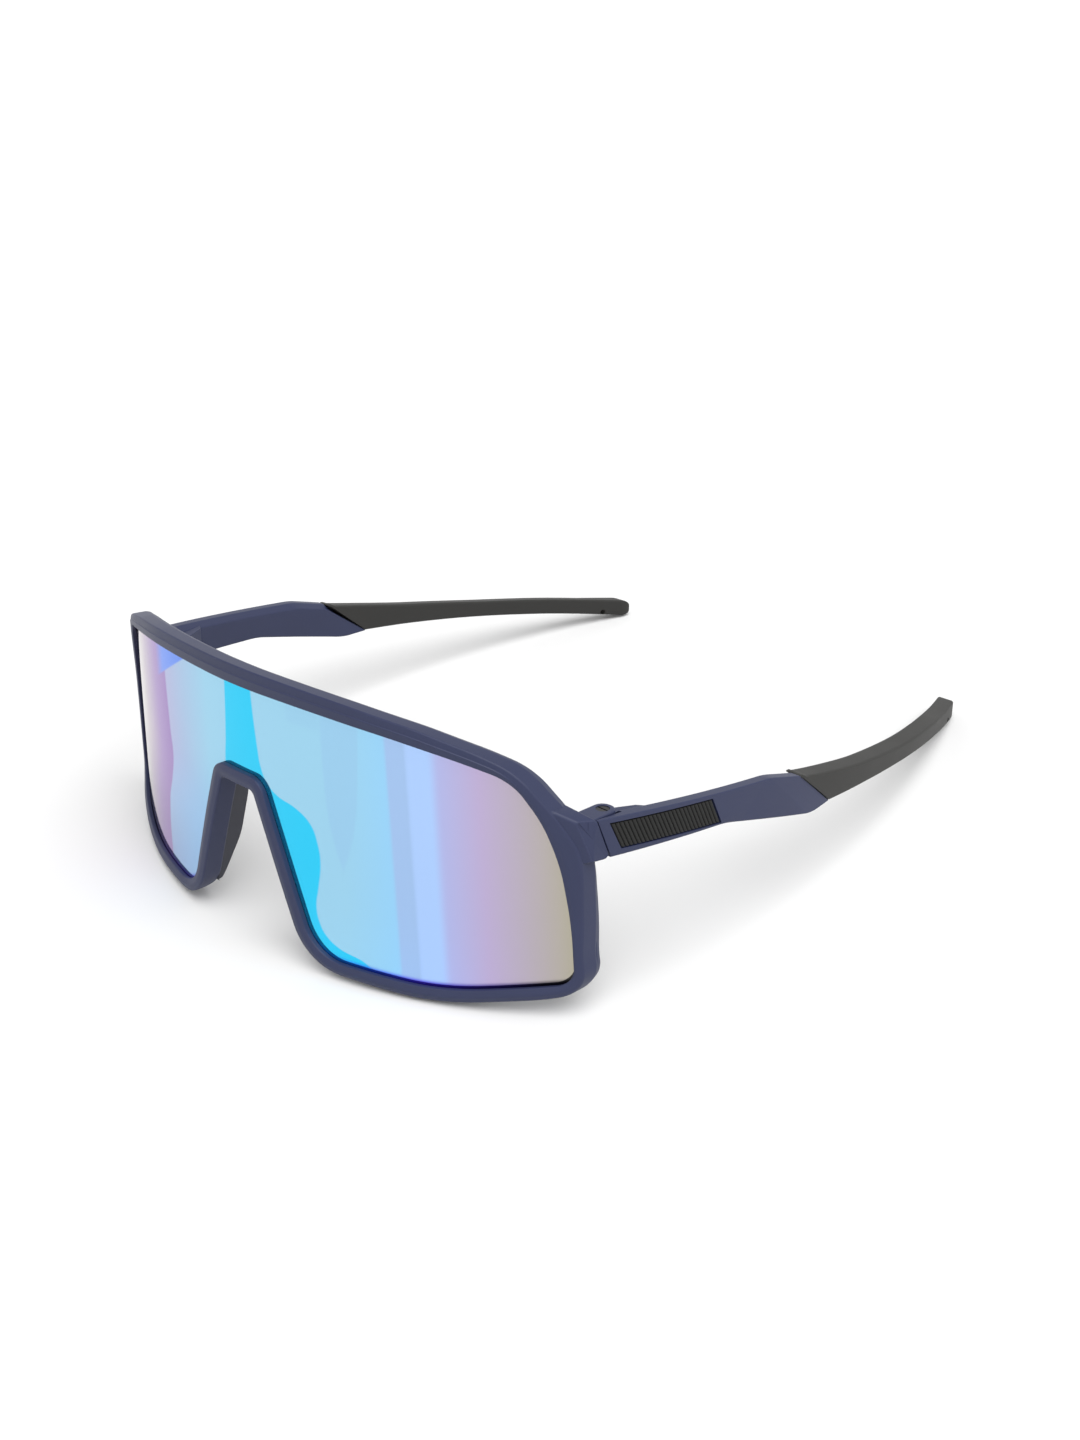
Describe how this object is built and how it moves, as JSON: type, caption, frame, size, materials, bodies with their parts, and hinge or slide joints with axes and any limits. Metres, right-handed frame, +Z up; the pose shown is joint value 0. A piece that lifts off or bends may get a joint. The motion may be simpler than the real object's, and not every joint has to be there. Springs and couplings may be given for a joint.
{
  "type": "wraparound sport sunglasses",
  "caption": "Wraparound sport sunglasses with one mirrored shield lens in a full rim, soft nose pads, ribbed temple inlays and folding temples with rubber tips.",
  "frame": {"origin": "centre of the box that the object fills, on the surface it stands on", "axes": "+X towards the wearer's left, +Y from the lens back along the open temples, +Z up from the surface it stands on"},
  "size_m": [0.1428, 0.1632, 0.0564],
  "materials": {
    "frame": "satin-matt navy nylon",
    "lens": "polished, blue to violet mirror coating",
    "pad": "soft matt",
    "tip": "soft matt",
    "grip": "ribbed matt",
    "screw": "turned steel",
    "brass": "turned brass"
  },
  "bodies": {
    "front": {"front_frame": "frame", "shield_lens": "lens", "nose_pad_left": "pad", "nose_pad_right": "pad", "hinge_screw_left": "screw", "hinge_screw_right": "screw", "hinge_insert_left": "brass", "hinge_insert_right": "brass"},
    "left_temple": {"temple_arm_left": "frame", "temple_tip_left": "tip", "grip_inlay_left": "grip"},
    "right_temple": {"temple_arm_right": "frame", "temple_tip_right": "tip", "grip_inlay_right": "grip"}
  },
  "joints": [
    {"name": "left_temple_hinge", "type": "hinge", "parent": "front", "child": "left_temple", "pos_m": [0.06415, -0.05044, 0.03341], "axis": [0, 0.0913, 0.9958], "range_deg": [0, 83]},
    {"name": "right_temple_hinge", "type": "hinge", "parent": "front", "child": "right_temple", "pos_m": [-0.06415, -0.05044, 0.03341], "axis": [0, -0.0913, -0.9958], "range_deg": [0, 76]}
  ]
}
